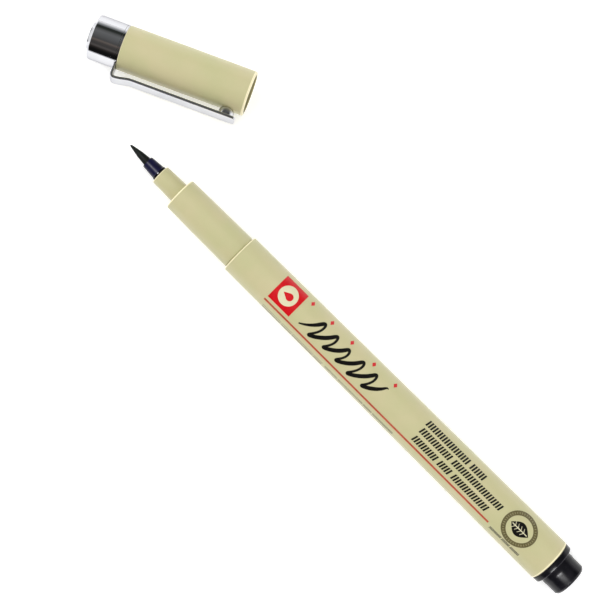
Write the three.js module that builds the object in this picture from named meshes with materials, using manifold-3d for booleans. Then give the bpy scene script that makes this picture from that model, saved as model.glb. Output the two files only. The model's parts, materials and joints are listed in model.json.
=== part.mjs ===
// Brush pen for calligraphy, lying uncapped on a table with its cap beside it.
// Millimetres, +Z up. +X runs along the pen from the brush tip to the rear plug and +Y points to
// the cap's side. The origin is the centre of the footprint, on the table.
import * as THREE from 'three';
import { mergeVertices } from 'three/addons/utils/BufferGeometryUtils.js';
import Module from 'manifold-3d';

const wasm = await Module();
wasm.setup();

// --- Driving dimensions -------------------------------------------------------------------

const segments = 32; // facets round every turned piece
const slip = 0.06; // radial gap between a piece and the one it is pushed into
const butt = 0.05; // gap between faces that meet end to end

// Pen: stations are measured along the axis from the brush tip.
const holderFront = 5.25;
const collarFront = 9.15;
const gripFront = 15.03;
const barrelFront = 33.3;
const barrelRear = 127.5;
const flangeRear = 128.85;
const penRear = 133.7;

const nibRadius = 1.0;
const holderFrontRadius = 1.37;
const holderRearRadius = 1.64; // in front of its lip
const holderLipRadius = 1.8;
const holderTailRadius = 1.72;
const collarFrontRadius = 2.275;
const collarRearRadius = 2.425;
const gripFrontRadius = 3.95;
const gripRearRadius = 4.145;
const barrelFrontRadius = 4.665;
const barrelRearRadius = 5.19;
const flangeRadius = 5.14;
const postRadius = 4.18;

const spigotRear = 46; // rear end of the grip's spigot inside the barrel
const holderTail = 20; // rear end of the nib holder inside the grip
const nibTail = 27; // rear end of the nib, inside the ink core
const coreFront = 23;
const coreRear = 110;
const coreRadius = 2.9;
const sleeveRadius = 3.12;
const plugInner = 116; // front end of the rear plug's hollow spigot

// Cap: stations are measured along its axis from the face of the end disc.
const discDepth = 0.8;
const crownRear = 7.1;
const tubeFront = 7.65;
const capMouth = 36.66;
const discRadius = 3.4;
const discFaceRadius = 2.98; // the rim is a cone
const discStemRadius = 2.85;
const crownRadius = 5.0;
const tubeRadius = 5.02;
const tubeSpigotFront = 2.0;
const tubeSpigotRadius = 4.35;
const tubeBoreRadius = 4.25;
const linerBody = 3.12;
const linerBore = 2.5;
const linerFront = 1.75;
const linerFloor = 2.4;
const linerMouth = 17.8;

// Clip: heights are radii from the cap's axis.
const clipWidth = 3.5;
const clipThickness = 0.6;
const clipTop = 7.43; // outer face of the straight strap
const clipHump = 8.05; // outer face at the top of the hump above the root
const clipHumpRear = 12.2; // station where the hump runs out
const clipTip = 35.6;
const clipTipCorner = 0.7; // radius of the strap's end corners
const clipSplit = 6.1; // height where the strap starts to flex
const clipSplitGap = 0.3;
const clipRingInset = 0.03; // how far the ring lies below the crown
const clipBend = 1.0; // outer radius of the bend
const bumpStation = 33.3;
const bumpRadius = 1.7;
const bumpCorner = 0.5;
const bumpClearance = 0.1;
const weldOverlap = 0.05; // how far joined solids reach into each other

// How the pieces lie on the table.
const capHeading = THREE.MathUtils.degToRad(24.56); // turn of the cap's axis from the pen's
const capDiscX = -22.6; // centre of the cap's end disc from the brush tip
const capDiscY = 10.77;
const clipRaise = THREE.MathUtils.degToRad(17); // angle of the clip above the table
const penTilt = Math.atan((barrelRearRadius - barrelFrontRadius) / (barrelRear - barrelFront));

// --- Materials ----------------------------------------------------------------------------

function finish(color, roughness, metalness = 0) {
  return new THREE.MeshStandardMaterial({ color, roughness, metalness });
}

const beigePlastic = finish(0xcfcba2, 0.45);
const blackPlastic = finish(0x17171c, 0.35);
const holderPlastic = finish(0x231e46, 0.25);
const nibFibre = finish(0x101014, 0.8);
const inkFibre = finish(0x1c1c22, 0.9);
const clearFilm = finish(0xdfe4e6, 0.3);
const whitePlastic = finish(0xe8e8e0, 0.5);
const chrome = finish(0xd8dadd, 0.08, 1);

// --- Shape helpers ------------------------------------------------------------------------

// Solid of revolution about X from [station, radius] points. The points run from the axis back
// to the axis, or round a closed wall, with the outer side taken towards +X.
function turned(profile) {
  const points = profile.map(([station, radius]) => new THREE.Vector2(radius, station));
  const geometry = new THREE.LatheGeometry(points, segments);
  return geometry.rotateZ(-Math.PI / 2);
}

// The same for a wall that closes on itself.
function turnedWall(profile) {
  return turned([...profile, profile[0]]);
}

// Points of a quarter ellipse about [x, y] between two angles in degrees.
function arc(x, y, halfX, halfY, from, to, steps) {
  const points = [];
  for (let step = 0; step <= steps; step += 1) {
    const angle = THREE.MathUtils.degToRad(from + ((to - from) * step) / steps);
    points.push([x + halfX * Math.cos(angle), y + halfY * Math.sin(angle)]);
  }
  return points;
}

function solid(geometry) {
  const bare = geometry.clone();
  bare.deleteAttribute('normal');
  bare.deleteAttribute('uv');
  const merged = mergeVertices(bare);
  const mesh = new wasm.Mesh({
    numProp: 3,
    vertProperties: new Float32Array(merged.attributes.position.array),
    triVerts: new Uint32Array(merged.index.array),
  });
  return new wasm.Manifold(mesh);
}

function joined(...geometries) {
  const whole = geometries.map(solid).reduce((sum, next) => sum.add(next));
  const mesh = whole.getMesh();
  const geometry = new THREE.BufferGeometry();
  geometry.setAttribute('position', new THREE.BufferAttribute(mesh.vertProperties, 3));
  geometry.setIndex(new THREE.BufferAttribute(mesh.triVerts, 1));
  geometry.computeVertexNormals();
  return geometry;
}

function piece(name, geometry, material) {
  const mesh = new THREE.Mesh(geometry, material);
  mesh.name = name;
  return mesh;
}

// --- Pen ----------------------------------------------------------------------------------

// Barrel wall radius along its taper.
function barrelRadiusAt(station) {
  const along = (station - barrelFront) / (barrelRear - barrelFront);
  return barrelFrontRadius + (barrelRearRadius - barrelFrontRadius) * along;
}

const barrelBoreFront = 3.85;
const barrelBoreRear = 4.25;

function barrel() {
  const frontChamfer = 0.25;
  const rearChamfer = 0.15;
  const boreStep = 115; // the bore narrows in front of the plug
  return piece('barrel', turnedWall([
    [barrelFront, barrelBoreFront],
    [barrelFront, barrelFrontRadius - frontChamfer],
    [barrelFront + frontChamfer, barrelRadiusAt(barrelFront + frontChamfer)],
    [barrelRear - rearChamfer, barrelRadiusAt(barrelRear - rearChamfer)],
    [barrelRear, barrelRearRadius - rearChamfer],
    [barrelRear, barrelBoreRear],
    [boreStep, barrelBoreRear],
  ]), beigePlastic);
}

// Grip and collar in one moulding: the collar holds the nib holder, the hollow spigot goes
// into the barrel and takes the front of the ink core.
function frontSection() {
  const chamfer = 0.35;
  const collarChamfer = 0.2;
  const holderBore = holderTailRadius + slip;
  const coreBore = sleeveRadius + slip;
  const spigotRadius = barrelBoreFront - slip;
  const boreStep = 22; // end of the holder's bore, in front of the ink core
  return piece('front_section', turnedWall([
    [collarFront, holderBore],
    [collarFront, collarFrontRadius - collarChamfer],
    [collarFront + collarChamfer, collarFrontRadius],
    [gripFront, collarRearRadius],
    [gripFront, gripFrontRadius - chamfer],
    [gripFront + chamfer, gripFrontRadius],
    [barrelFront - butt, gripRearRadius],
    [barrelFront - butt, spigotRadius],
    [spigotRear, spigotRadius],
    [spigotRear, coreBore],
    [boreStep, coreBore],
    [boreStep, holderBore],
  ]), beigePlastic);
}

function nibHolder() {
  const chamfer = 0.15;
  const nibBore = nibRadius + slip;
  const lipFront = collarFront - 0.55;
  const lipRear = collarFront - 0.12;
  const lipRise = 0.1; // length of the step up to the lip
  return piece('nib_holder', turnedWall([
    [holderFront, nibBore],
    [holderFront, holderFrontRadius - chamfer],
    [holderFront + chamfer, holderFrontRadius],
    [lipFront - lipRise, holderRearRadius],
    [lipFront, holderLipRadius],
    [lipRear, holderLipRadius],
    [lipRear, holderTailRadius],
    [holderTail, holderTailRadius],
    [holderTail, nibBore],
  ]), holderPlastic);
}

// Slightly convex cone, then a straight tail that reaches the ink core.
function brushNib() {
  return piece('brush_nib', turned([
    [0, 0],
    [0.1, 0.13],
    [0.35, 0.24],
    [0.9, 0.37],
    [1.7, 0.52],
    [3.0, 0.76],
    [4.3, 0.9],
    [holderFront, nibRadius],
    [nibTail, nibRadius],
    [nibTail, 0],
  ]), nibFibre);
}

// Bundled ink fibres with a socket for the nib's tail.
function inkCore() {
  const socket = nibRadius + slip;
  return piece('ink_core', turned([
    [nibTail + butt, 0],
    [nibTail + butt, socket],
    [coreFront, socket],
    [coreFront, coreRadius],
    [coreRear, coreRadius],
    [coreRear, 0],
  ]), inkFibre);
}

function coreSleeve() {
  const overlap = 0.5; // bare fibre at each end
  return piece('core_sleeve', turnedWall([
    [coreFront + overlap, coreRadius + slip],
    [coreFront + overlap, sleeveRadius],
    [coreRear - overlap, sleeveRadius],
    [coreRear - overlap, coreRadius + slip],
  ]), clearFilm);
}

function rearPlug() {
  const flangeChamfer = 0.3;
  const postChamfer = 0.45;
  const spigotRadius = barrelBoreRear - slip;
  const hollowRadius = 3.2;
  const endWall = 1.5; // plastic between the hollow and the flange
  const hollowEnd = barrelRear - endWall;
  return piece('rear_plug', turned([
    [hollowEnd, 0],
    [hollowEnd, hollowRadius],
    [plugInner, hollowRadius],
    [plugInner, spigotRadius],
    [barrelRear + butt, spigotRadius],
    [barrelRear + butt, flangeRadius - flangeChamfer / 2],
    [barrelRear + butt + flangeChamfer / 2, flangeRadius],
    [flangeRear - flangeChamfer, flangeRadius],
    [flangeRear, flangeRadius - flangeChamfer],
    [flangeRear, postRadius],
    [penRear - postChamfer, postRadius],
    [penRear, postRadius - postChamfer],
    [penRear, 0],
  ]), blackPlastic);
}

// --- Cap ----------------------------------------------------------------------------------

// Beige tube with a narrower hollow spigot that goes into the chrome crown.
function capTube() {
  const mouthChamfer = 0.18;
  const shoulderChamfer = 0.1;
  const boreStep = 9.2;
  const linerHole = linerBody + slip;
  return piece('cap_tube', turnedWall([
    [tubeSpigotFront, linerHole],
    [tubeSpigotFront, tubeSpigotRadius],
    [tubeFront, tubeSpigotRadius],
    [tubeFront, tubeRadius - shoulderChamfer],
    [tubeFront + shoulderChamfer, tubeRadius],
    [capMouth - mouthChamfer, tubeRadius],
    [capMouth, tubeRadius - mouthChamfer],
    [capMouth, tubeBoreRadius],
    [boreStep, tubeBoreRadius],
    [boreStep, linerHole],
  ]), beigePlastic);
}

// Inner cap: a blind liner that seals on the collar and keeps the nib wet.
function innerCap() {
  const ringRadius = tubeBoreRadius - slip;
  const ringDepth = 3;
  return piece('inner_cap', turned([
    [linerFront, 0],
    [linerFront, linerBody],
    [linerMouth - ringDepth, linerBody],
    [linerMouth - ringDepth, ringRadius],
    [linerMouth, ringRadius],
    [linerMouth, linerBore],
    [linerFloor, linerBore],
    [linerFloor, 0],
  ]), whitePlastic);
}

// Drawn chrome shell over the tube's spigot, with a hole for the end disc's stem.
function capCrown() {
  const corner = 0.45;
  const endWall = 0.8;
  const rearCorner = 0.2;
  const bore = tubeSpigotRadius + slip;
  const hole = discStemRadius + slip;
  return piece('cap_crown', turnedWall([
    [discDepth, hole],
    [discDepth, crownRadius - corner],
    ...arc(discDepth + corner, crownRadius - corner, corner, corner, 150, 90, 2),
    [crownRear - rearCorner, crownRadius],
    [crownRear, crownRadius - rearCorner],
    [crownRear, bore],
    [discDepth + endWall, bore],
    [discDepth + endWall, hole],
  ]), chrome);
}

function endDisc() {
  const stemEnd = 1.6;
  return piece('end_disc', turned([
    [0, 0],
    [0, discFaceRadius],
    [discDepth - butt, discRadius],
    [discDepth - butt, discStemRadius],
    [stemEnd, discStemRadius],
    [stemEnd, 0],
  ]), chrome);
}

const ringFront = crownRear + butt;
const ringRear = tubeFront - butt;

// Ring of the clip, held between crown and tube, with the tab that carries the strap.
function clipRing() {
  const tabFoot = 4.6;
  const tabTop = clipSplit - clipSplitGap / 2;
  const tabThickness = ringRear - ringFront;
  const ring = turnedWall([
    [ringFront, tubeSpigotRadius + slip],
    [ringFront, crownRadius - clipRingInset],
    [ringRear, crownRadius - clipRingInset],
    [ringRear, tubeSpigotRadius + slip],
  ]);
  const tab = new THREE.BoxGeometry(tabThickness, clipWidth, tabTop - tabFoot);
  tab.translate((ringFront + ringRear) / 2, 0, (tabTop + tabFoot) / 2);
  return piece('clip_ring', joined(ring, tab), chrome);
}

// Height of the strap's outer face: it falls from the hump in an S-curve, then runs straight.
function strapHeightAt(station, bendX) {
  const along = (station - bendX) / (clipHumpRear - bendX);
  return clipTop + ((clipHump - clipTop) * (1 + Math.cos(Math.PI * along))) / 2;
}

// Spring strap: the bend and hump at its root, the flat strap with a rounded end, and the drum
// that presses on the tube.
function clipArm() {
  const strapBottom = clipTop - clipThickness;
  const bendX = ringFront + clipBend;
  const bendZ = clipHump - clipBend;
  const inner = clipBend - clipThickness;
  const rootBottom = clipSplit + clipSplitGap / 2;
  const humpSteps = 8;
  const humpOuter = [];
  for (let step = 1; step <= humpSteps; step += 1) {
    const station = bendX + ((clipHumpRear - bendX) * step) / humpSteps;
    humpOuter.push([station, strapHeightAt(station, bendX)]);
  }
  const humpInner = humpOuter.map(([x, z]) => [x, z - clipThickness]).reverse();
  const rootOutline = [
    [ringFront, rootBottom],
    ...arc(bendX, bendZ, clipBend, clipBend, 180, 90, 6),
    ...humpOuter,
    ...humpInner,
    ...arc(bendX, bendZ, inner, inner, 90, 180, 4),
    [ringFront + clipThickness, rootBottom],
  ];
  const rootShape = new THREE.Shape(rootOutline.map(([x, z]) => new THREE.Vector2(x, z)));
  const root = new THREE.ExtrudeGeometry(rootShape, { depth: clipWidth, bevelEnabled: false });
  root.rotateX(Math.PI / 2).translate(0, clipWidth / 2, 0);

  const halfWidth = clipWidth / 2;
  const cornerX = clipTip - clipTipCorner;
  const cornerY = halfWidth - clipTipCorner;
  const strapFront = clipHumpRear - weldOverlap;
  const strapOutline = [
    [strapFront, -halfWidth],
    ...arc(cornerX, -cornerY, clipTipCorner, clipTipCorner, -90, 0, 5),
    ...arc(cornerX, cornerY, clipTipCorner, clipTipCorner, 0, 90, 5),
    [strapFront, halfWidth],
  ];
  const strapShape = new THREE.Shape(strapOutline.map(([x, y]) => new THREE.Vector2(x, y)));
  const strapOptions = { depth: clipThickness, bevelEnabled: false };
  const strap = new THREE.ExtrudeGeometry(strapShape, strapOptions);
  strap.translate(0, 0, strapBottom);

  const bumpBottom = tubeRadius + bumpClearance;
  const bumpTop = strapBottom + clipThickness / 2;
  const bumpProfile = [
    [0, bumpBottom],
    ...arc(bumpRadius - bumpCorner, bumpBottom + bumpCorner, bumpCorner, bumpCorner, -90, 0, 4),
    [bumpRadius, bumpTop],
    [0, bumpTop],
  ];
  const bumpPoints = bumpProfile.map(([radius, height]) => new THREE.Vector2(radius, height));
  const bump = new THREE.LatheGeometry(bumpPoints, 24);
  bump.rotateX(Math.PI / 2).translate(bumpStation, 0, 0);
  return piece('clip_arm', joined(root, strap, bump), chrome);
}

// --- Assembly -----------------------------------------------------------------------------

const pen = new THREE.Group();
pen.add(barrel(), frontSection(), nibHolder(), brushNib(), inkCore(), coreSleeve(), rearPlug());
pen.rotation.y = -penTilt;

const clip = new THREE.Group();
clip.add(clipRing(), clipArm());
clip.rotation.x = Math.PI / 2 - clipRaise;

const cap = new THREE.Group();
cap.add(capTube(), innerCap(), capCrown(), endDisc(), clip);
cap.rotation.z = capHeading;

// The tapered barrel and the cap's tube both rest along their lowest line on z = 0.
const barrelRestHeight = barrelRearRadius * Math.cos(penTilt) - barrelRear * Math.sin(penTilt);
pen.position.set(0, 0, barrelRestHeight);
cap.position.set(capDiscX, capDiscY, tubeRadius);

const marker = new THREE.Group();
marker.name = 'brush_pen';
marker.add(pen, cap);

// Moves the origin to the middle of the footprint.
marker.updateMatrixWorld(true);
const extent = new THREE.Box3().setFromObject(marker, true);
const middle = extent.getCenter(new THREE.Vector3());
marker.position.set(-middle.x, -middle.y, -extent.min.z);

export default marker;
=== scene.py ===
"""Brush pen with its cap off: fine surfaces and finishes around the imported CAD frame.

Sizes are in millimetres unless a name says otherwise, and are turned into metres in one place.
Pen stations run along its axis from the brush tip, and cap stations from the face of its end disc.
"""
import json
import math

import bmesh
import bpy
from mathutils import Matrix, Vector

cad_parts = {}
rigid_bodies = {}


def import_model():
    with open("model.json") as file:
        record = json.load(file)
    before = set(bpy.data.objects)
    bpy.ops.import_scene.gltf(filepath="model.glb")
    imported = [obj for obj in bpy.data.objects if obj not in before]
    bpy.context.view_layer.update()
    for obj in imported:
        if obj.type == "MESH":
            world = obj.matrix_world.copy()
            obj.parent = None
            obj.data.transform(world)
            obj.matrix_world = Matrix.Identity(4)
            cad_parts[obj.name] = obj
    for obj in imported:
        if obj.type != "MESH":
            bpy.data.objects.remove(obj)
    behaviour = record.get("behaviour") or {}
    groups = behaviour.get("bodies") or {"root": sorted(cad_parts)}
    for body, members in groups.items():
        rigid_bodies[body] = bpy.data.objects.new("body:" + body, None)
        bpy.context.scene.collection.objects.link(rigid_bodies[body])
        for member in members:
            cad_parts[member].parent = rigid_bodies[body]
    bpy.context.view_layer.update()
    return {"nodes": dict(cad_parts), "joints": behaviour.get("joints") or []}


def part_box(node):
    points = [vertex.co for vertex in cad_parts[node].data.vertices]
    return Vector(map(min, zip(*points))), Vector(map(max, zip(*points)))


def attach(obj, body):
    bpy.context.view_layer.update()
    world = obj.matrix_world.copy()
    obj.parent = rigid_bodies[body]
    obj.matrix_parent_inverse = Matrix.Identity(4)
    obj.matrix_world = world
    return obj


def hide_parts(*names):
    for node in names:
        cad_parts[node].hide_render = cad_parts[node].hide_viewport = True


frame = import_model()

MM = 0.001
ROUND_SEGMENTS = 128
FILLET_STEPS = 5

# --- Driving dimensions ---------------------------------------------------------------------

BARREL_FRONT, BARREL_REAR = 33.3, 127.5
BARREL_FRONT_RADIUS, BARREL_REAR_RADIUS = 4.665, 5.19
COLLAR_FRONT, GRIP_FRONT = 9.15, 15.03
HOLDER_FRONT = 5.25
FLANGE_REAR, PEN_REAR = 128.85, 133.7

CROWN_FRONT, CROWN_REAR = 0.8, 7.1
TUBE_FRONT, CAP_MOUTH = 7.65, 36.66
TUBE_RADIUS, CROWN_RADIUS = 5.02, 5.0

CLIP_WIDTH, CLIP_THICKNESS = 3.5, 0.6
CLIP_TOP, CLIP_TIP = 7.43, 35.6
CLIP_HUMP, CLIP_HUMP_REAR = 8.05, 12.2
CLIP_BEND, CLIP_TIP_CORNER = 1.0, 0.7
CLIP_RING_MIDDLE, CLIP_PIVOT_HEIGHT = 7.375, 6.1

# Camera, from the pen: straight above a point beside the barrel.
CAMERA_STATION, CAMERA_SIDE, CAMERA_HEIGHT = 51.5, 2.0, 394.0
CAMERA_TURN = math.radians(44.77)
CAMERA_LENS, SENSOR = 106.0, 36.0

# --- Where the pen and the cap lie ----------------------------------------------------------

pen_tilt = math.atan((BARREL_REAR_RADIUS - BARREL_FRONT_RADIUS) / (BARREL_REAR - BARREL_FRONT))
tip_low, tip_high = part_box("brush_nib")
pen_height = BARREL_REAR_RADIUS * math.cos(pen_tilt) - BARREL_REAR * math.sin(pen_tilt)
pen_origin = Vector((tip_low[0], (tip_low[1] + tip_high[1]) / 2, pen_height * MM))
PEN = Matrix.Translation(pen_origin) @ Matrix.Rotation(-pen_tilt, 4, "Y")

joints = {joint["name"]: joint for joint in frame["joints"]}
cap_axis = -Vector(joints["cap_slide"]["axis"]).normalized()
clip_hinge = Vector(joints["clip_flex"]["axis"]).normalized()
clip_out = clip_hinge.cross(cap_axis).normalized()
clip_pivot = Vector(joints["clip_flex"]["pos_m"])
cap_origin = clip_pivot - cap_axis * CLIP_RING_MIDDLE * MM - clip_out * CLIP_PIVOT_HEIGHT * MM


def placed(origin, x_axis, z_axis):
    """Matrix whose X and Z axes point along the two given directions."""
    y_axis = z_axis.cross(x_axis)
    turn = Matrix((x_axis, y_axis, z_axis)).transposed().to_4x4()
    return Matrix.Translation(origin) @ turn


CAP = placed(cap_origin, cap_axis, Vector((0, 0, 1)))
CLIP = placed(cap_origin, cap_axis, clip_out)

# --- Materials ------------------------------------------------------------------------------


class Finish:
    """A procedural material and short calls for wiring its nodes."""

    def __init__(self, name, roughness=0.4, metallic=0.0, ior=1.47):
        self.material = bpy.data.materials.new(name)
        self.material.use_nodes = True
        self.tree = self.material.node_tree
        self.shader = self.tree.nodes["Principled BSDF"]
        self.shader.inputs["Roughness"].default_value = roughness
        self.shader.inputs["Metallic"].default_value = metallic
        self.shader.inputs["IOR"].default_value = ior
        self.coordinates = self.tree.nodes.new("ShaderNodeTexCoord").outputs["Object"]

    def link(self, output, target):
        self.tree.links.new(output, target)
        return output

    def stretched(self, along, across):
        """Object coordinates scaled along the piece's axis and across it."""
        mapping = self.tree.nodes.new("ShaderNodeMapping")
        mapping.inputs["Scale"].default_value = (along, across, across)
        self.link(self.coordinates, mapping.inputs["Vector"])
        return mapping.outputs["Vector"]

    def noise(self, scale, detail=3.0, vector=None):
        """Noise, with the scale in cells per metre."""
        node = self.tree.nodes.new("ShaderNodeTexNoise")
        node.inputs["Scale"].default_value = scale
        node.inputs["Detail"].default_value = detail
        self.link(vector or self.coordinates, node.inputs["Vector"])
        return node.outputs["Fac"]

    def ramp(self, factor, stops):
        """Colour ramp over [position, colour] stops."""
        node = self.tree.nodes.new("ShaderNodeValToRGB")
        elements = node.color_ramp.elements
        for element, (position, colour) in zip(elements, stops):
            element.position = position
            element.color = (*colour, 1)
        for position, colour in stops[2:]:
            elements.new(position).color = (*colour, 1)
        self.link(factor, node.inputs["Fac"])
        return node.outputs["Color"]

    def spread(self, factor, low, high):
        """Maps the middle of a noise's range onto low to high."""
        node = self.tree.nodes.new("ShaderNodeMapRange")
        node.inputs["From Min"].default_value = 0.3
        node.inputs["From Max"].default_value = 0.7
        node.inputs["To Min"].default_value = low
        node.inputs["To Max"].default_value = high
        self.link(factor, node.inputs["Value"])
        return node.outputs["Result"]

    def mix(self, factor, first, second):
        node = self.tree.nodes.new("ShaderNodeMix")
        node.data_type = "RGBA"
        self.link(factor, node.inputs[0])
        for value, socket in ((first, node.inputs[6]), (second, node.inputs[7])):
            if isinstance(value, tuple):
                socket.default_value = (*value, 1)
            else:
                self.link(value, socket)
        return node.outputs[2]

    def faded(self, factor, first, second):
        """A number that goes from first to second as the factor goes from 0 to 1."""
        node = self.tree.nodes.new("ShaderNodeMix")
        self.link(factor, node.inputs[0])
        self.link(first, node.inputs[2])
        node.inputs[3].default_value = second
        return node.outputs[0]

    def edge(self):
        """The edge mark that turned pieces carry: 1 on a rounded edge and 0 elsewhere."""
        node = self.tree.nodes.new("ShaderNodeAttribute")
        node.attribute_name = "edge"
        return node.outputs["Fac"]

    def inside(self):
        """1 where turned pieces carry an edge mark of -1, inside a bore, and 0 elsewhere: the mask for
        painted shade in bores.
        """
        node = self.tree.nodes.new("ShaderNodeMapRange")
        node.inputs["From Max"].default_value = -1.0
        self.link(self.edge(), node.inputs["Value"])
        return node.outputs["Result"]

    def colour(self, output):
        self.link(output, self.shader.inputs["Base Color"])

    def roughness(self, output):
        self.link(output, self.shader.inputs["Roughness"])

    def bump(self, height, strength, distance_mm):
        node = self.tree.nodes.new("ShaderNodeBump")
        node.inputs["Strength"].default_value = strength
        node.inputs["Distance"].default_value = distance_mm * MM
        self.link(height, node.inputs["Height"])
        self.link(node.outputs["Normal"], self.shader.inputs["Normal"])


def linear(red, green, blue):
    """Linear colour from 0 to 255 display values."""
    return tuple(((value / 255 + 0.055) / 1.055) ** 2.4 for value in (red, green, blue))


def moulded_beige():
    """Satin beige moulding with faint tint drift and fine grain, a pale cream painted highlight on
    rounded edges and darker painted shade inside bores.
    """
    finish = Finish("moulded_beige", ior=1.4)
    drift = finish.noise(130, 4)
    tint = finish.ramp(drift, [(0.35, linear(194, 191, 146)), (0.65, linear(201, 193, 152))])
    # painted highlight: rounded edges that carry the edge mark are painted pale cream
    edge_highlighted = finish.mix(finish.edge(), tint, linear(249, 239, 200))
    # painted shade: bore walls marked -1 are painted a darker beige
    finish.colour(finish.mix(finish.inside(), edge_highlighted, linear(160, 152, 112)))
    finish.roughness(finish.spread(finish.noise(220, 1), 0.285, 0.315))
    finish.bump(finish.noise(3500, 1), 0.15, 0.01)
    return finish.material


def moulded_black():
    """Black plug plastic; its rounded edges are painted a lighter grey as a painted highlight."""
    finish = Finish("moulded_black", ior=1.32)
    drift = finish.noise(500, 4)
    tint = finish.ramp(drift, [(0.35, linear(8, 8, 11)), (0.7, linear(17, 16, 20))])
    # painted highlight: rounded edges that carry the edge mark are painted a lighter grey
    finish.colour(finish.mix(finish.edge(), tint, linear(22, 20, 25)))
    finish.roughness(finish.spread(finish.noise(500, 1), 0.16, 0.21))
    finish.bump(finish.noise(2400, 2), 0.12, 0.02)
    return finish.material


def ferrule_plastic():
    """Satin blue-black ferrule, violet where it catches light, near black and glossy on its lip and
    front rim.
    """
    finish = Finish("ferrule_plastic", ior=1.33)
    drift = finish.noise(900, 3)
    tint = finish.ramp(drift, [(0.3, linear(9, 9, 34)), (0.7, linear(17, 16, 48))])
    finish.colour(finish.mix(finish.edge(), tint, linear(5, 5, 9)))
    satin = finish.spread(finish.noise(1600, 3), 0.3, 0.36)
    finish.roughness(finish.faded(finish.edge(), satin, 0.09))
    return finish.material


def brush_fibre():
    """Ink-soaked felt: fine strands drawn along the nib."""
    finish = Finish("brush_fibre", roughness=0.5, ior=1.24)
    strands = finish.noise(4200, 4, finish.stretched(0.12, 1.0))
    finish.colour(finish.ramp(strands, [(0.3, linear(2, 3, 3)), (0.75, linear(22, 26, 24))]))
    finish.roughness(finish.spread(strands, 0.38, 0.62))
    finish.bump(strands, 0.5, 0.06)
    return finish.material


def chrome_plating():
    """Bright plating with a trace of handling haze, rubbed satin where it is marked."""
    finish = Finish("chrome_plating", roughness=0.05, metallic=1.0)
    # painted shade: the darker specular tint greys the plating's grazing reflections, standing in for
    # the cap's shadow on the floor mirrored at its edges
    finish.shader.inputs["Specular Tint"].default_value = (0.6, 0.6, 0.62, 1)
    haze = finish.noise(260, 4)
    finish.colour(finish.ramp(haze, [(0.3, (0.69, 0.695, 0.72)), (0.7, (0.74, 0.745, 0.77))]))
    polish = finish.spread(finish.noise(420, 5), 0.035, 0.09)
    finish.roughness(finish.faded(finish.edge(), polish, 0.42))
    finish.bump(finish.noise(1500, 2, finish.stretched(0.3, 1.0)), 0.02, 0.01)
    return finish.material


def inner_plastic(name, dark, light, roughness):
    """Plain moulding for the inner pieces."""
    finish = Finish(name, roughness=roughness)
    finish.colour(finish.ramp(finish.noise(400, 3), [(0.3, dark), (0.7, light)]))
    finish.bump(finish.noise(3000, 2), 0.1, 0.02)
    return finish.material


def print_ink(name, tint, other):
    """Screen-printed ink with slight density drift."""
    finish = Finish(name, roughness=0.35)
    finish.colour(finish.ramp(finish.noise(900, 4), [(0.35, tint), (0.7, other)]))
    finish.roughness(finish.spread(finish.noise(2500, 2), 0.3, 0.42))
    return finish.material


BEIGE = moulded_beige()
BLACK = moulded_black()
FERRULE = ferrule_plastic()
FIBRE = brush_fibre()
CHROME = chrome_plating()
WHITE_PLASTIC = inner_plastic("white_liner", linear(218, 214, 196), linear(230, 227, 212), 0.45)
INK_CORE = inner_plastic("ink_core_fibre", linear(20, 20, 26), linear(40, 40, 48), 0.9)
FILM = inner_plastic("clear_wrap", linear(205, 212, 216), linear(225, 230, 232), 0.25)
RED_INK = print_ink("red_ink", linear(200, 10, 22), linear(212, 22, 32))
BLACK_INK = print_ink("black_ink", linear(9, 8, 7), linear(20, 18, 15))
RUST_INK = print_ink("rust_ink", linear(178, 66, 44), linear(190, 82, 58))
OLIVE_INK = print_ink("olive_ink", linear(92, 85, 54), linear(108, 100, 68))
FADED_INK = print_ink("faded_ink", linear(14, 14, 9), linear(34, 33, 22))
STRAW_INK = print_ink("straw_ink", linear(134, 127, 90), linear(146, 139, 99))
CREAM_INK = print_ink("cream_ink", linear(226, 220, 184), linear(218, 214, 176))

# --- Mesh helpers ---------------------------------------------------------------------------


def finished(name, mesh, place, body, material, replaces=()):
    """Puts a mesh in its place, gives it its finish and lets it ride on its body."""
    mesh.transform(place)
    piece = bpy.data.objects.new(name, mesh)
    bpy.context.scene.collection.objects.link(piece)
    mesh.materials.append(material)
    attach(piece, body)
    if replaces:
        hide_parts(*replaces)
    return piece


def mesh_from(work, name, sharp_degrees=40):
    """Closes a bmesh into a smooth-shaded mesh with creases at sharp edges."""
    bmesh.ops.recalc_face_normals(work, faces=work.faces)
    mesh = bpy.data.meshes.new(name)
    work.to_mesh(mesh)
    work.free()
    mesh.shade_smooth()
    mesh.set_sharp_from_angle(angle=math.radians(sharp_degrees))
    return mesh


def sharp_mark(corner):
    """Edge mark of a sharp corner: 0 unless it carries one."""
    return corner[3] if len(corner) > 3 and corner[2] == 0 else 0.0


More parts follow.
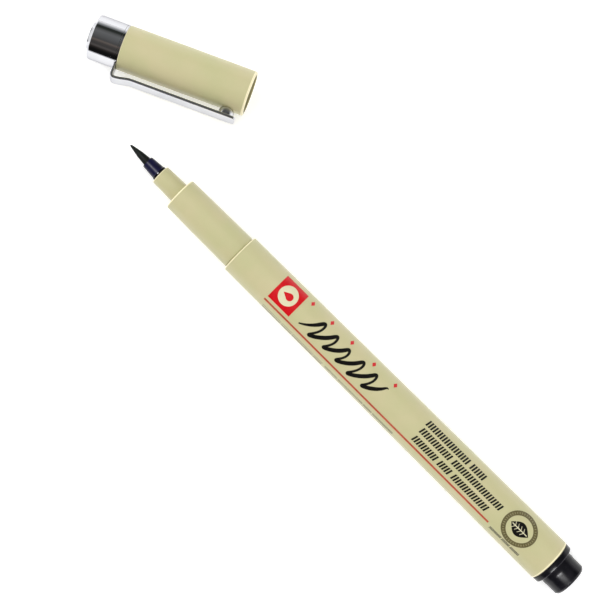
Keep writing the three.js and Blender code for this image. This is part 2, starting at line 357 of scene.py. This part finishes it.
def filleted(outline, closed):
    """Outline points as (station, radius, edge mark), with each marked corner as an arc.

    A corner is (station, radius), (station, radius, fillet) or (station, radius, fillet, mark).
    With a fillet of 0 it stays sharp and only carries its mark.
    """
    points = []
    count = len(outline)
    for index, corner in enumerate(outline):
        here = Vector(corner[:2])
        if len(corner) == 2 or corner[2] == 0:
            points.append((here.x, here.y, sharp_mark(corner)))
            continue
        before = (Vector(outline[index - 1][:2]) - here).normalized()
        after = (Vector(outline[(index + 1) % count][:2]) - here).normalized()
        half = before.angle(after) / 2
        reach = corner[2] / math.tan(half)
        centre = here + (before + after).normalized() * corner[2] / math.sin(half)
        start = here + before * reach - centre
        finish = here + after * reach - centre
        sweep = start.angle_signed(finish)
        # fillets carry edge mark 1 unless given one; the beige and black finishes paint that mark
        # lighter as a painted highlight
        marks = [corner[3] if len(corner) > 3 else 1.0] * (FILLET_STEPS + 1)
        marks[0] = sharp_mark(outline[index - 1])
        marks[-1] = sharp_mark(outline[(index + 1) % count])
        for step, mark in enumerate(marks):
            arm = start.copy()
            arm.rotate(Matrix.Rotation(-sweep * step / FILLET_STEPS, 2))
            points.append((centre.x + arm.x, centre.y + arm.y, mark))
    if closed:
        points.append(points[0])
    return points


def revolve(work, outline, closed=False, radius_at=None, edge_spans=()):
    """Turns an outline about X. radius_at(station, radius, angle) may shape it further.

    Stations within edge_spans take the edge mark as well.
    """
    edge = work.verts.layers.float.get("edge") or work.verts.layers.float.new("edge")
    rings = []
    for station, radius, mark in filleted(outline, closed):
        turns = 1 if radius < 1e-6 else ROUND_SEGMENTS
        if any(start <= station <= end for start, end in edge_spans):
            mark = 1.0
        ring = []
        for turn in range(turns):
            angle = 2 * math.pi * turn / ROUND_SEGMENTS
            reach = radius_at(station, radius, angle) if radius_at and turns > 1 else radius
            at = (station * MM, reach * MM * math.cos(angle), reach * MM * math.sin(angle))
            vert = work.verts.new(at)
            vert[edge] = mark
            ring.append(vert)
        rings.append(ring)
    if closed:
        for vert in rings.pop():
            work.verts.remove(vert)
        rings.append(rings[0])
    for near, far in zip(rings, rings[1:]):
        for turn in range(ROUND_SEGMENTS):
            after = (turn + 1) % ROUND_SEGMENTS
            corners = [near[turn % len(near)], near[after % len(near)]]
            corners += [far[after % len(far)], far[turn % len(far)]]
            unique = list(dict.fromkeys(corners))
            work.faces.new(unique)


def turned_piece(name, outline, place, body, material, **shape):
    """A turned piece that stands for the CAD node of the same name."""
    work = bmesh.new()
    revolve(work, outline, **shape)
    mesh = mesh_from(work, name)
    finished(name + "_fine", mesh, place, body, material, (name,))


# --- Pen ------------------------------------------------------------------------------------


def barrel_radius(station):
    along = (station - BARREL_FRONT) / (BARREL_REAR - BARREL_FRONT)
    return BARREL_FRONT_RADIUS + (BARREL_REAR_RADIUS - BARREL_FRONT_RADIUS) * along


def make_barrel():
    rear_face = BARREL_REAR - 0.08  # leaves a fine shadow line before the plug's flange
    turned_piece("barrel", [
        (BARREL_FRONT, 3.85),
        (BARREL_FRONT, BARREL_FRONT_RADIUS, 0.24),
        (rear_face - 0.46, barrel_radius(rear_face - 0.46)),
        # painted highlight: from here the edge mark paints the band before the rear rim pale cream
        (rear_face - 0.38, barrel_radius(rear_face - 0.38), 0, 1.0),
        (rear_face, BARREL_REAR_RADIUS, 0.28),
        (rear_face, 4.25),
        (115.0, 4.25),
    ], PEN, "pen", BEIGE, closed=True)


def make_front_section():
    seam_depth = 0.12  # shadow gap where the grip meets the barrel
    turned_piece("front_section", [
        (COLLAR_FRONT, 1.78),
        (COLLAR_FRONT, 2.275, 0.18),
        (GRIP_FRONT - 0.2, 2.42),
        (GRIP_FRONT, 2.43, 0.08),
        (GRIP_FRONT, 3.95, 0.34),
        (BARREL_FRONT - 0.3, 4.14, 0.05),
        (BARREL_FRONT - 0.2, 4.14 - seam_depth),
        (BARREL_FRONT - 0.05, 4.14 - seam_depth),
        (BARREL_FRONT - 0.05, 3.79),
        (46.0, 3.79),
        (46.0, 3.18),
        (22.0, 3.18),
        (22.0, 1.78),
    ], PEN, "pen", BEIGE, closed=True)


def make_nib_holder():
    """Tapered ferrule that ends in a dark lip against the collar."""
    lip_front, lip_rear, lip = COLLAR_FRONT - 0.55, COLLAR_FRONT - 0.12, 1.8
    turned_piece("nib_holder", [
        (HOLDER_FRONT, 1.02),
        (HOLDER_FRONT, 1.37, 0.12),
        (lip_front - 0.12, 1.64, 0.1, 0.0),
        (lip_front, lip - 0.04, 0.05),
        (lip_rear, lip, 0.06),
        (lip_rear + 0.06, 1.7),
        (20.0, 1.7),
        (20.0, 1.02),
    ], PEN, "pen", FERRULE, closed=True, edge_spans=[(lip_front, lip_rear + 0.2)])


def make_brush_nib():
    """Pointed felt brush with shallow strand grooves that fade out at the tip."""
    shoulder = 1.0
    cone = [
        (0.0, 0.0), (0.02, 0.06), (0.1, 0.13), (0.35, 0.24), (0.9, 0.37), (1.7, 0.52),
        (3.0, 0.76), (4.3, 0.9), (HOLDER_FRONT, shoulder),
    ]

    def grooved(station, radius, angle):
        fade = min(1.0, station / 2.5)
        strands = math.sin(23 * angle) + 0.6 * math.sin(37 * angle + 1.3)
        return radius * (1 - 0.012 * fade * (1 + strands / 1.6))

    outline = cone + [(27.0, shoulder * 0.99), (27.0, 0.0)]
    turned_piece("brush_nib", outline, PEN, "pen", FIBRE, radius_at=grooved)


def make_rear_plug():
    """Flange, then a post with fine axial flutes and a shallow swell round its middle."""
    flutes = 64
    bead = 129.95

    def fluted(station, radius, angle):
        on_post = radius > 3.9 and FLANGE_REAR + 0.5 < station < PEN_REAR - 0.5
        return radius - (0.018 * (1 + math.cos(flutes * angle)) if on_post else 0.0)

    turned_piece("rear_plug", [
        (126.0, 0.0),
        (126.0, 3.2),
        (116.0, 3.2),
        (116.0, 4.19),
        (BARREL_REAR + 0.05, 4.19),
        (BARREL_REAR + 0.05, 5.13, 0.12),
        (FLANGE_REAR, 5.09, 0.3),
        (FLANGE_REAR, 4.08, 0.1),
        (bead - 0.7, 4.09),
        (bead - 0.35, 4.145),
        (bead, 4.165),
        (bead + 0.35, 4.145),
        (bead + 0.7, 4.09),
        (PEN_REAR - 0.5, 4.09, 0.06),
        (PEN_REAR, 3.74, 0.2),
        (PEN_REAR, 0.0),
    ], PEN, "pen", BLACK, radius_at=fluted)


# --- Cap ------------------------------------------------------------------------------------


def make_cap():
    turned_piece("cap_tube", [
        (2.0, 3.18),
        (2.0, 4.35),
        (TUBE_FRONT, 4.35),
        (TUBE_FRONT, TUBE_RADIUS, 0.1),
        (CAP_MOUTH - 0.5, TUBE_RADIUS),
        # painted highlight: from here the edge mark paints the mouth's rim band pale cream
        (CAP_MOUTH - 0.42, TUBE_RADIUS, 0, 1.0),
        (CAP_MOUTH, TUBE_RADIUS, 0.28),
        # painted shade: marks of -1 paint the bore wall a darker beige
        (CAP_MOUTH, 4.25, 0.12, -1.0),
        (CAP_MOUTH - 0.25, 4.25, 0, -1.0),
        (9.2, 4.25, 0, -1.0),
        (9.2, 3.18),
    ], CAP, "cap", BEIGE, closed=True)
    turned_piece("inner_cap", [
        (1.75, 0.0),
        (1.75, 3.12),
        (14.8, 3.12),
        (14.8, 4.19),
        (17.8, 4.19, 0.1),
        (17.8, 2.5, 0.25),
        (2.4, 2.5, 0.3),
        (2.4, 0.0),
    ], CAP, "cap", WHITE_PLASTIC)
    turned_piece("cap_crown", [
        (CROWN_FRONT, 2.91),
        (CROWN_FRONT, CROWN_RADIUS, 0.4, 0.0),
        (CROWN_REAR, CROWN_RADIUS),
        (CROWN_REAR, 4.41),
        (1.6, 4.41),
        (1.6, 2.91),
    ], CAP, "cap", CHROME, closed=True)
    turned_piece("end_disc", [
        (0.0, 0.0),
        (0.0, 2.935, 0.05, 0.0),
        (0.2, 3.0),
        (0.75, 3.4),
        (0.75, 2.85),
        (1.6, 2.85),
        (1.6, 0.0),
    ], CAP, "cap", CHROME)


def strap_section(width, thickness, crown=0.0):
    """Rounded rectangle in the strap's own width and thickness, as (across, up) points."""
    corner = thickness * 0.3
    points = []
    for across, up, start in ((1, 1, 0), (-1, 1, 90), (-1, -1, 180), (1, -1, 270)):
        for step in range(4):
            angle = math.radians(start + 30 * step)
            side = across * (width / 2 - corner) + corner * math.cos(angle)
            height = up * (thickness / 2 - corner) + corner * math.sin(angle)
            points.append((side, height))
        if up == 1 and across == 1:
            points += [(width * (0.3 - 0.1 * step), thickness / 2) for step in range(7)]
        if up == -1 and across == -1:
            points += [(width * (0.1 * step - 0.3), -thickness / 2) for step in range(7)]
    lift = [crown * (1 - (2 * side / width) ** 2) for side, height in points]
    return [(side, height + rise) for (side, height), rise in zip(points, lift)]


def strap_path():
    """Centre line of the strap as (station, height, heading, width), from its root to its end."""
    half_thick = CLIP_THICKNESS / 2
    middle = CLIP_BEND - half_thick
    ring_front = CROWN_REAR + 0.05
    bend_x, bend_z = ring_front + CLIP_BEND, CLIP_HUMP - CLIP_BEND
    path = [(ring_front + half_thick, CLIP_PIVOT_HEIGHT + 0.05, math.pi / 2, CLIP_WIDTH)]
    for step in range(13):
        heading = math.pi / 2 * (1 - step / 12)
        x = bend_x - middle * math.sin(heading)
        z = bend_z + middle * math.cos(heading)
        path.append((x, z, heading, CLIP_WIDTH))
    fall, run = CLIP_HUMP - CLIP_TOP, CLIP_HUMP_REAR - bend_x
    for step in range(1, 17):
        turn = math.pi * step / 16
        z = CLIP_TOP + fall * (1 + math.cos(turn)) / 2 - half_thick
        heading = -math.atan(fall / run * math.pi * math.sin(turn) / 2)
        path.append((bend_x + run * step / 16, z, heading, CLIP_WIDTH))
    top = CLIP_TOP - half_thick
    corner_x = CLIP_TIP - CLIP_TIP_CORNER
    for share in (0.1, 0.3, 0.5, 0.7, 0.85, 0.95):
        path.append((CLIP_HUMP_REAR + (corner_x - CLIP_HUMP_REAR) * share, top, 0.0, CLIP_WIDTH))
    for step in range(9):
        turn = math.pi / 2 * step / 8
        width = CLIP_WIDTH - 2 * CLIP_TIP_CORNER * (1 - math.cos(turn))
        path.append((corner_x + CLIP_TIP_CORNER * math.sin(turn), top, 0.0, width))
    return path


def strap_mesh():
    crown = 0.06
    loops = []
    work = bmesh.new()
    for x, z, heading, width in strap_path():
        loop = []
        for side, height in strap_section(width, CLIP_THICKNESS, crown * width / CLIP_WIDTH):
            at_x = x - height * math.sin(heading)
            at_z = z + height * math.cos(heading)
            loop.append(work.verts.new((at_x * MM, side * MM, at_z * MM)))
        loops.append(loop)
    count = len(loops[0])
    for near, far in zip(loops, loops[1:]):
        for index in range(count):
            after = (index + 1) % count
            work.faces.new((near[index], near[after], far[after], far[index]))
    work.faces.new(loops[0])
    work.faces.new(loops[-1])
    return mesh_from(work, "clip_strap")


def union(first, second):
    """Mesh of two closed meshes joined into one body."""
    base = bpy.data.objects.new("joined_base", first)
    tool = bpy.data.objects.new("joined_tool", second)
    for part in (base, tool):
        bpy.context.scene.collection.objects.link(part)
    join = base.modifiers.new("join", "BOOLEAN")
    join.operation = "UNION"
    join.solver = "EXACT"
    join.object = tool
    bpy.context.view_layer.update()
    evaluated = base.evaluated_get(bpy.context.evaluated_depsgraph_get())
    result = bpy.data.meshes.new_from_object(evaluated)
    for part in (base, tool):
        bpy.data.objects.remove(part)
    result.materials.clear()
    result.shade_smooth()
    result.set_sharp_from_angle(angle=math.radians(40))
    return result


def bump_mesh():
    """Drum under the strap's end that presses on the tube."""
    station, radius, corner = 33.3, 1.7, 0.8
    lowest = TUBE_RADIUS + 0.06
    root = CLIP_TOP - CLIP_THICKNESS / 2
    work = bmesh.new()
    revolve(work, [(lowest, 0.0), (lowest, radius, corner), (root, radius), (root, 0.0)])
    place = Matrix.Translation((station * MM, 0, 0)) @ Matrix.Rotation(-math.pi / 2, 4, "Y")
    bmesh.ops.transform(work, matrix=place, verts=work.verts)
    return mesh_from(work, "clip_bump")


def make_clip():
    arm = union(strap_mesh(), bump_mesh())
    arm.name = "clip_arm"
    rubbed = arm.attributes.get("edge") or arm.attributes.new("edge", "FLOAT", "POINT")
    inner_face = (CLIP_TOP - CLIP_THICKNESS - 0.02) * MM
    for vert, mark in zip(arm.vertices, rubbed.data):
        mark.value = 1.0 if vert.co.z < inner_face and vert.co.x > 30 * MM else 0.0
    finished("clip_arm_fine", arm, CLIP, "clip", CHROME, ("clip_arm",))

    sheet = 0.45
    front, rear = CLIP_RING_MIDDLE - sheet / 2, CLIP_RING_MIDDLE + sheet / 2
    work = bmesh.new()
    revolve(work, [(front, 4.41), (front, 4.97), (rear, 4.97), (rear, 4.41)], closed=True)
    ring = mesh_from(work, "clip_ring_turned")
    tab = bmesh.new()
    loops = []
    for height in (4.6, CLIP_PIVOT_HEIGHT - 0.02):
        section = strap_section(CLIP_WIDTH, sheet)
        loops.append([
            tab.verts.new(((CLIP_RING_MIDDLE - up) * MM, side * MM, height * MM))
            for side, up in section
        ])
    for index in range(len(loops[0])):
        after = (index + 1) % len(loops[0])
        tab.faces.new((loops[0][index], loops[0][after], loops[1][after], loops[1][index]))
    tab.faces.new(loops[0])
    tab.faces.new(loops[1])
    whole = union(ring, mesh_from(tab, "clip_tab"))
    whole.name = "clip_ring"
    finished("clip_ring_fine", whole, CLIP, "cap", CHROME, ("clip_ring",))


# --- Printing on the barrel -----------------------------------------------------------------


def printed(name, patches, ink, layer=1):
    """Lays flat patches of (station, side) points onto the top of the barrel as thin print."""
    strip = 0.3
    work = bmesh.new()
    for patch in patches:
        work.faces.new([work.verts.new((station, side, 0)) for station, side in patch])
    cuts = int(4.8 / strip)
    for cut in range(-cuts, cuts + 1):
        everything = work.verts[:] + work.edges[:] + work.faces[:]
        at = (0, cut * strip, 0)
        bmesh.ops.bisect_plane(work, geom=everything, plane_co=at, plane_no=(0, 1, 0))
    bmesh.ops.triangulate(work, faces=[face for face in work.faces if len(face.verts) > 4])
    for vert in work.verts:
        station, side = vert.co.x, vert.co.y
        radius = barrel_radius(station) + 0.008 * layer
        height = math.sqrt(radius ** 2 - side ** 2)
        vert.co = (station * MM, side * MM, height * MM)
    for face in work.faces:
        face.normal_update()
        if face.normal.z < 0:
            face.normal_flip()
    mesh = bpy.data.meshes.new(name)
    work.to_mesh(mesh)
    work.free()
    mesh.shade_smooth()
    return finished(name, mesh, PEN, "pen", ink)


def bar(start, end, side, height, lean=0.0):
    """Small block of print, leaning forward by lean."""
    low, high = side - height / 2, side + height / 2
    return [(start, low), (end, low), (end + lean, high), (start + lean, high)]


def disc(station, side, radius, points=36):
    turns = [2 * math.pi * turn / points for turn in range(points)]
    return [(station + radius * math.cos(a), side + radius * math.sin(a)) for a in turns]


def ring_patches(station, side, inner, outer, start=0.0, end=360.0, steps=72, squash=1.0):
    """A flat ring, or part of one, as four-sided patches. squash narrows it across the pen."""
    patches = []
    for step in range(steps):
        near = math.radians(start + (end - start) * step / steps)
        far = math.radians(start + (end - start) * (step + 1) / steps)
        corners = ((inner, near), (outer, near), (outer, far), (inner, far))
        patches.append([
            (station + reach * math.cos(a), side + squash * reach * math.sin(a))
            for reach, a in corners
        ])
    return patches


def drop(station, side, radius):
    """Outline of an ink drop with its point towards the brush."""
    outline = [(station - 2.1 * radius, side)]
    for step in range(25):
        turn = math.radians(-120 + 10 * step)
        outline.append((station + radius * math.cos(turn), side + radius * math.sin(turn)))
    return outline


def flourish():
    """One continuous brush flourish: a forward-leaning wave with thick and thin strokes."""
    first, last, waves, steps = 54.3, 75.6, 5.5, 300
    lean = 0.7
    centre, widths = [], []
    for step in range(steps + 1):
        share = step / steps
        phase = 2 * math.pi * waves * share - 1.2
        swell = 1.9 + 0.2 * math.sin(11 * share)
        side = swell * math.sin(phase) + 0.1
        station = first + (last - first) * share + lean * side + 0.3 * math.cos(2 * phase)
        centre.append(Vector((station, side)))
        taper = min(1.0, 0.35 + 12 * share, 0.3 + 10 * (1 - share))
        widths.append((0.36 + 0.1 * math.cos(phase)) * taper)
    patches = []
    sides = []
    for index, point in enumerate(centre):
        ahead = centre[min(index + 1, steps)] - centre[max(index - 1, 0)]
        across = Vector((-ahead.y, ahead.x)).normalized() * widths[index]
        sides.append((point + across, point - across))
    for (left, right), (next_left, next_right) in zip(sides, sides[1:]):
        patches.append([tuple(right), tuple(next_right), tuple(next_left), tuple(left)])
    return patches


def hatching(start, side, lengths, height=1.5):
    """A broken band of even, leaning strokes: plain hatching in runs of the given lengths."""
    stroke, gap = 0.29 * height, 0.17 * height
    pitch = stroke + gap
    patches = []
    at = start
    for length in lengths:
        for index in range(max(1, round((length + gap) / pitch))):
            patches.append(bar(at, at + stroke, side, height, 0.25 * height))
            at += pitch
        at += 0.45 * height
    return patches


def small_diamonds(side):
    """Five equal diamonds spread along the barrel."""
    half_length, half_height = 0.5, 0.58
    return [
        [(at - half_length, side), (at, side - half_height),
         (at + half_length, side), (at, side + half_height)]
        for at in (52.3, 58.1, 64.1, 70.7, 77.1)
    ]


def leaf_outline(station, side, half_length, half_width):
    outline = []
    for step in range(48):
        share = step / 24 if step <= 24 else 2 - step / 24
        bulge = math.sin(math.pi * share) * (1 if step <= 24 else -1)
        outline.append((station + half_length * (2 * share - 1), side + half_width * bulge))
    return outline


def make_printing():
    rule_start, rule_end, rule_half = 44.0, 111.7, 0.2
    rule_side_start, rule_side_end = -3.1, -3.38
    pieces = 40
    ends = [(rule_start + (rule_end - rule_start) * piece / pieces,
             rule_side_start + (rule_side_end - rule_side_start) * piece / pieces)
            for piece in range(pieces + 1)]
    rule = []
    for (near, low), (far, high) in zip(ends, ends[1:]):
        rule.append([
            (near, low - rule_half), (far, high - rule_half),
            (far, high + rule_half), (near, low + rule_half),
        ])
    printed("print_rule", rule, RUST_INK)

    square = [(44.2, -2.25), (50.5, -2.25), (50.5, 3.9), (44.2, 3.9)]
    badge = (47.35, 0.85)
    printed("print_square", [square], RED_INK)
    printed("print_badge", [disc(*badge, 2.25, 48)], CREAM_INK, layer=2)
    printed("print_drop", [drop(badge[0] + 0.4, badge[1], 0.85)], RED_INK, layer=3)
    printed("print_diamonds", small_diamonds(3.4), RED_INK)
    printed("print_flourish", flourish(), BLACK_INK)

    bands = hatching(87.4, 2.68, (11.9, 3.8))
    bands += hatching(87.4, 0.6, (8.6, 14.2))
    bands += hatching(87.4, -1.68, (6.7, 3.0, 9.9))
    printed("print_bands", bands, BLACK_INK)
    edge_band = hatching(44.6, -4.42, (5.5, 3.0, 6.2, 2.4), 0.45)
    edge_band += hatching(63.4, -4.5, (3.6, 7.2, 2.5, 6.0), 0.55)
    printed("print_edge_band", edge_band, BLACK_INK)

    seal = (117.35, 0.25)
    squash = 0.885
    printed("print_seal", ring_patches(*seal, 3.15, 4.22, squash=squash), OLIVE_INK)
    ticks = []
    for tick in range(40):
        start = 9 * tick
        ticks += ring_patches(*seal, 3.46, 3.9, start, start + 3.5, 1, squash)
    printed("print_seal_ticks", ticks, STRAW_INK, layer=2)
    printed("print_leaf", [leaf_outline(*seal, 2.5, 1.6)], BLACK_INK)
    veins = [bar(seal[0] - 2.1, seal[0] + 2.1, seal[1], 0.2)]
    for root in (-1.3, -0.5, 0.3, 1.1):
        for way in (1, -1):
            veins.append([
                (seal[0] + root, seal[1]), (seal[0] + root + 0.16, seal[1]),
                (seal[0] + root - 0.34, seal[1] + way * 0.85),
                (seal[0] + root - 0.44, seal[1] + way * 0.85),
            ][::way])
    printed("print_leaf_veins", veins, CREAM_INK, layer=2)
    printed("print_seal_band", hatching(112.6, -3.88, (3.4, 2.2, 2.4), 0.5), FADED_INK)


# --- Inner pieces that keep their CAD shape ---------------------------------------------------


def dress(node, material):
    piece = frame["nodes"][node]
    piece.data.materials.clear()
    piece.data.materials.append(material)


# --- Studio ---------------------------------------------------------------------------------


def make_floor():
    half = 6.0
    work = bmesh.new()
    corners = ((-half, -half), (half, -half), (half, half), (-half, half))
    work.faces.new([work.verts.new((x, y, 0)) for x, y in corners])
    mesh = bpy.data.meshes.new("floor")
    work.to_mesh(mesh)
    work.free()
    finish = Finish("floor_white", roughness=0.9, ior=1.3)
    finish.colour(finish.ramp(finish.noise(3, 2), [(0.3, (0.9, 0.9, 0.9)), (0.7, (0.92, 0.92, 0.92))]))
    finish.shader.inputs["Emission Color"].default_value = (1, 1, 1, 1)
    finish.shader.inputs["Emission Strength"].default_value = 0.3
    floor = bpy.data.objects.new("floor", mesh)
    bpy.context.scene.collection.objects.link(floor)
    floor.location.z = -0.00005
    mesh.materials.append(finish.material)


def white_ends(tree, direction):
    """1 towards either end of the cap's axis and 0 across it."""
    along = tree.nodes.new("ShaderNodeVectorMath")
    along.operation = "DOT_PRODUCT"
    along.inputs[1].default_value = cap_axis
    tree.links.new(direction, along.inputs[0])
    size = tree.nodes.new("ShaderNodeMath")
    size.operation = "ABSOLUTE"
    tree.links.new(along.outputs["Value"], size.inputs[0])
    fade = tree.nodes.new("ShaderNodeMapRange")
    fade.interpolation_type = "SMOOTHSTEP"
    fade.inputs["From Min"].default_value = 0.72
    fade.inputs["From Max"].default_value = 0.9
    tree.links.new(size.outputs["Value"], fade.inputs["Value"])
    return fade.outputs["Result"]


def make_world():
    """White at the horizon, dim overhead: the ceiling that polished pieces mirror."""
    world = bpy.data.worlds.new("studio")
    bpy.context.scene.world = world
    world.use_nodes = True
    tree = world.node_tree
    background = tree.nodes["Background"]
    direction = tree.nodes.new("ShaderNodeTexCoord").outputs["Generated"]
    split = tree.nodes.new("ShaderNodeSeparateXYZ")
    tree.links.new(direction, split.inputs["Vector"])
    across = tree.nodes.new("ShaderNodeVectorMath")
    across.operation = "DOT_PRODUCT"
    across.inputs[1].default_value = Vector((0, 0, 1)).cross(cap_axis)
    tree.links.new(direction, across.inputs[0])
    angle = tree.nodes.new("ShaderNodeMath")
    angle.operation = "ARCTAN2"
    tree.links.new(across.outputs["Value"], angle.inputs[0])
    tree.links.new(split.outputs["Z"], angle.inputs[1])
    share = tree.nodes.new("ShaderNodeMapRange")
    share.inputs["From Min"].default_value = -math.pi / 2
    share.inputs["From Max"].default_value = math.pi / 2
    tree.links.new(angle.outputs["Value"], share.inputs["Value"])
    ramp = tree.nodes.new("ShaderNodeValToRGB")
    # Share 0 is the horizon on the pen's side of the cap, and 0.5 is overhead.
    white, black, umber = (1, 1, 1), (0.008, 0.008, 0.008), (0.15, 0.125, 0.11)
    stops = [
        (0.0, white), (0.97, white), (0.015, (0.8, 0.8, 0.82)), (0.04, black), (0.15, black),
        (0.21, (0.03, 0.026, 0.024)), (0.26, (0.1, 0.09, 0.085)), (0.31, (0.06, 0.056, 0.054)),
        (0.37, (0.072, 0.066, 0.062)), (0.42, umber), (0.46, (0.08, 0.079, 0.078)),
        (0.56, (0.12, 0.122, 0.122)), (0.67, (0.155, 0.158, 0.158)), (0.73, (0.11, 0.113, 0.11)),
        (0.785, (0.03, 0.034, 0.03)), (0.84, (0.03, 0.034, 0.03)), (0.91, (0.4, 0.41, 0.42)),
    ]
    elements = ramp.color_ramp.elements
    for element, (position, colour) in zip(elements, stops):
        element.position = position
        element.color = (*colour, 1)
    for position, colour in stops[2:]:
        elements.new(position).color = (*colour, 1)
    tree.links.new(share.outputs["Result"], ramp.inputs["Fac"])
    ends = tree.nodes.new("ShaderNodeMix")
    ends.data_type = "RGBA"
    ends.inputs[7].default_value = (1, 1, 1, 1)
    tree.links.new(white_ends(tree, direction), ends.inputs[0])
    tree.links.new(ramp.outputs["Color"], ends.inputs[6])
    tree.links.new(ends.outputs[2], background.inputs["Color"])
    background.inputs["Strength"].default_value = 1.0


def soft_sun(name, azimuth, elevation, strength, width):
    """Broad distant light that polished pieces don't mirror, from azimuth degrees round from +X."""
    data = bpy.data.lights.new(name, "SUN")
    data.energy = strength
    data.angle = math.radians(width)
    lamp = bpy.data.objects.new(name, data)
    bpy.context.scene.collection.objects.link(lamp)
    around, up = math.radians(azimuth), math.radians(elevation)
    source = Vector((
        math.cos(around) * math.cos(up), math.sin(around) * math.cos(up), math.sin(up)))
    lamp.rotation_mode = "QUATERNION"
    lamp.rotation_quaternion = source.to_track_quat("Z", "Y")
    lamp.visible_glossy = False


def spark(name, station, toward, sizes, power, pieces):
    """Small soft lamp that leaves a short highlight on some pieces, and lights nothing else.

    Its two sizes are along the pen and across it.
    """
    reach = 0.45
    data = bpy.data.lights.new(name, "AREA")
    data.shape = "ELLIPSE"
    data.size, data.size_y = sizes
    data.energy = power
    lamp = bpy.data.objects.new(name, data)
    bpy.context.scene.collection.objects.link(lamp)
    toward = Vector(toward).normalized()
    along = (Vector((1, 0, 0)) - toward * toward.x).normalized()
    lamp.matrix_world = placed(PEN @ Vector((station * MM, 0, 0)) + toward * reach, along, toward)
    lit = bpy.data.collections.new(name + "_pieces")
    for piece in pieces:
        lit.objects.link(bpy.data.objects[piece])
    lamp.light_linking.receiver_collection = lit


def make_lights():
    soft_sun("front_light", 190, 24, 1.6, 50)
    soft_sun("rear_light", -15, 28, 1.1, 50)
    soft_sun("top_light", 90, 82, 1.7, 60)
    front_pieces = ["nib_holder_fine", "brush_nib_fine"]
    spark("rear_spark", 130.0, (0.455, -0.277, 0.847), (0.03, 0.28), 3.0, ["rear_plug_fine"])
    spark("front_spark", 7.5, (-0.321, -0.19, 0.93), (0.08, 0.18), 1.1, front_pieces)


def make_camera():
    data = bpy.data.cameras.new("camera")
    data.lens = CAMERA_LENS
    data.sensor_width = SENSOR
    camera = bpy.data.objects.new("camera", data)
    bpy.context.scene.collection.objects.link(camera)
    camera.location = (
        pen_origin.x + CAMERA_STATION * MM,
        pen_origin.y + CAMERA_SIDE * MM,
        CAMERA_HEIGHT * MM,
    )
    camera.rotation_euler = (0, 0, CAMERA_TURN)
    bpy.context.scene.camera = camera
    bpy.context.scene.view_settings.view_transform = "Standard"


make_camera()
make_barrel()
make_front_section()
make_nib_holder()
make_brush_nib()
make_rear_plug()
make_cap()
make_clip()
make_printing()
dress("ink_core", INK_CORE)
dress("core_sleeve", FILM)
make_floor()
make_world()
make_lights()
